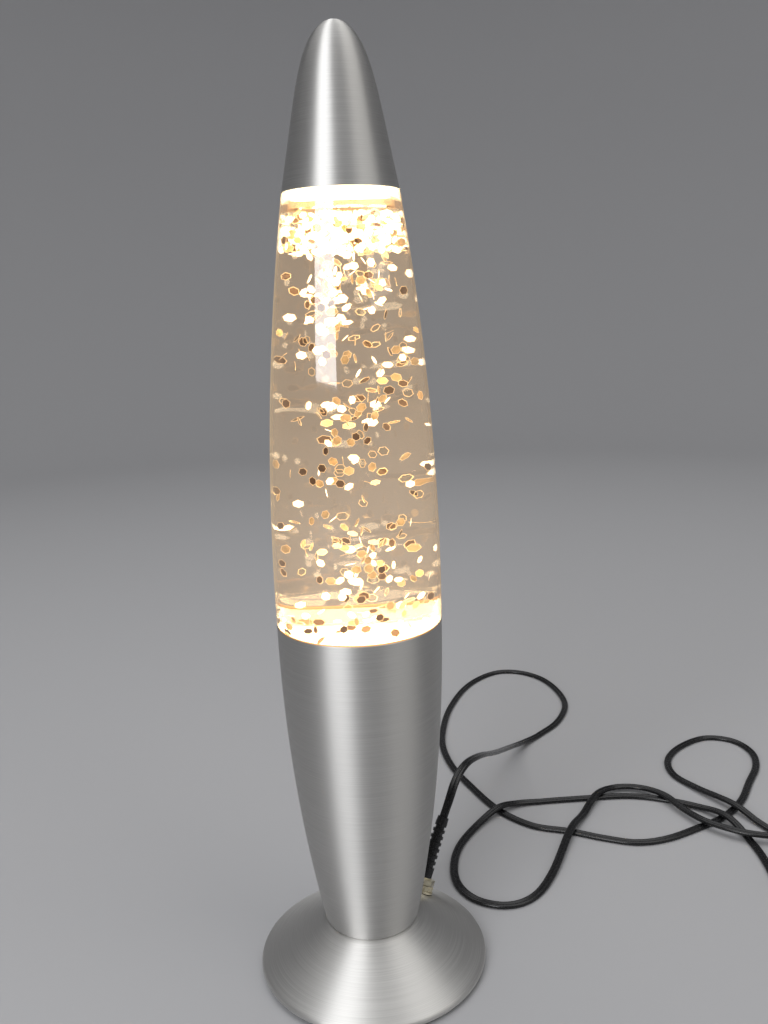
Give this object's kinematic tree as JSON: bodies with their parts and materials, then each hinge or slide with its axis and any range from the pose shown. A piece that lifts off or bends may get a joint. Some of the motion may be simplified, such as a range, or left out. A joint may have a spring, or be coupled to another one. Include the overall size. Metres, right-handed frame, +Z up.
{
  "type": "liquid motion lamp",
  "caption": "Rocket-shaped glitter lamp with a brushed metal foot, body and cap, a lift-out glass bottle of glitter and a black mains lead.",
  "frame": {"origin": "on the lamp's axis at the table", "axes": "+Z up along the lamp's axis, -Y towards the viewer of the picture, +X to the viewer's right"},
  "size_m": [0.376, 0.3873, 0.41],
  "materials": {
    "spun_aluminium": "turned and brushed",
    "pad_rubber": "matt",
    "black_sheet": "satin black",
    "plated_steel": "zinc plated",
    "brass": "plain",
    "pale_brass": "plain",
    "holder_plastic": "matt",
    "block_ceramic": "matt",
    "clear_glass": "clear",
    "bulb_glass": "frosted, lit",
    "filament_metal": "lit",
    "black_glass": "opaque",
    "clear_liquid": "clear liquid",
    "glitter_film": "metallised film",
    "white_plastic": "matt",
    "liner_foam": "matt",
    "black_pvc": "satin",
    "brown_pvc": "satin",
    "blue_pvc": "satin",
    "nickel_pin": "nickel plated"
  },
  "bodies": {
    "stand": {"foot_ring": "pad_rubber", "closing_plate": "black_sheet", "foot_skirt": "spun_aluminium", "body_shell": "spun_aluminium", "centre_tube": "brass", "tube_washers": "plated_steel", "tube_nuts": "plated_steel", "holder_cap": "holder_plastic", "holder_sleeve": "holder_plastic", "terminal_block": "block_ceramic", "screw_shell": "brass", "contact_spring": "brass", "terminal_screws": "brass", "outlet_nipple": "pale_brass", "outlet_washer": "pale_brass", "outlet_nuts": "pale_brass", "strain_relief": "black_pvc", "live_wire": "brown_pvc", "neutral_wire": "blue_pvc", "lamp_lead": "black_pvc", "switch_lower": "black_pvc", "switch_upper": "black_pvc", "switch_contacts": "brass", "switch_screws": "plated_steel", "plug_lead": "black_pvc", "plug_body": "black_pvc", "plug_tail": "black_pvc", "plug_pins": "nickel_pin", "plug_sleeves": "black_pvc"},
    "bulb_tip": {"bulb_tip": "plated_steel"},
    "bulb": {"bulb_insulator": "black_glass", "bulb_base": "brass", "bulb_glass_envelope": "bulb_glass", "bulb_stem": "clear_glass", "bulb_filament": "filament_metal"},
    "bottle": {"bottle": "clear_glass", "liquid": "clear_liquid", "glitter_flakes": "glitter_film", "bottle_closure": "white_plastic", "closure_liner": "liner_foam"},
    "cap": {"top_cap": "spun_aluminium"},
    "rocker": {"switch_rocker": "black_pvc"}
  },
  "joints": [
    {"name": "bottle_lift", "type": "slide", "parent": "stand", "child": "bottle", "axis": [0, 0, 1], "range_m": [0, 0.15]},
    {"name": "cap_lift", "type": "slide", "parent": "bottle", "child": "cap", "axis": [0, 0, 1], "range_m": [0, 0.09]},
    {"name": "bulb_rise", "type": "slide", "parent": "stand", "child": "bulb_tip", "axis": [0, 0, 1], "range_m": [0, 0.0113]},
    {"name": "bulb_turn", "type": "hinge", "parent": "bulb_tip", "child": "bulb", "pos_m": [0, 0, 0.06], "axis": [0, 0, 1], "range_deg": [0, 1440]},
    {"name": "rocker_tip", "type": "hinge", "parent": "stand", "child": "rocker", "pos_m": [0.244, 0.018, 0.0134], "axis": [1, 0, 0], "range_deg": [-16, 0]}
  ],
  "couplings": [
    {"joint": "bulb_rise", "follows": "bulb_turn", "m_per_rad": 0.00044882}
  ]
}
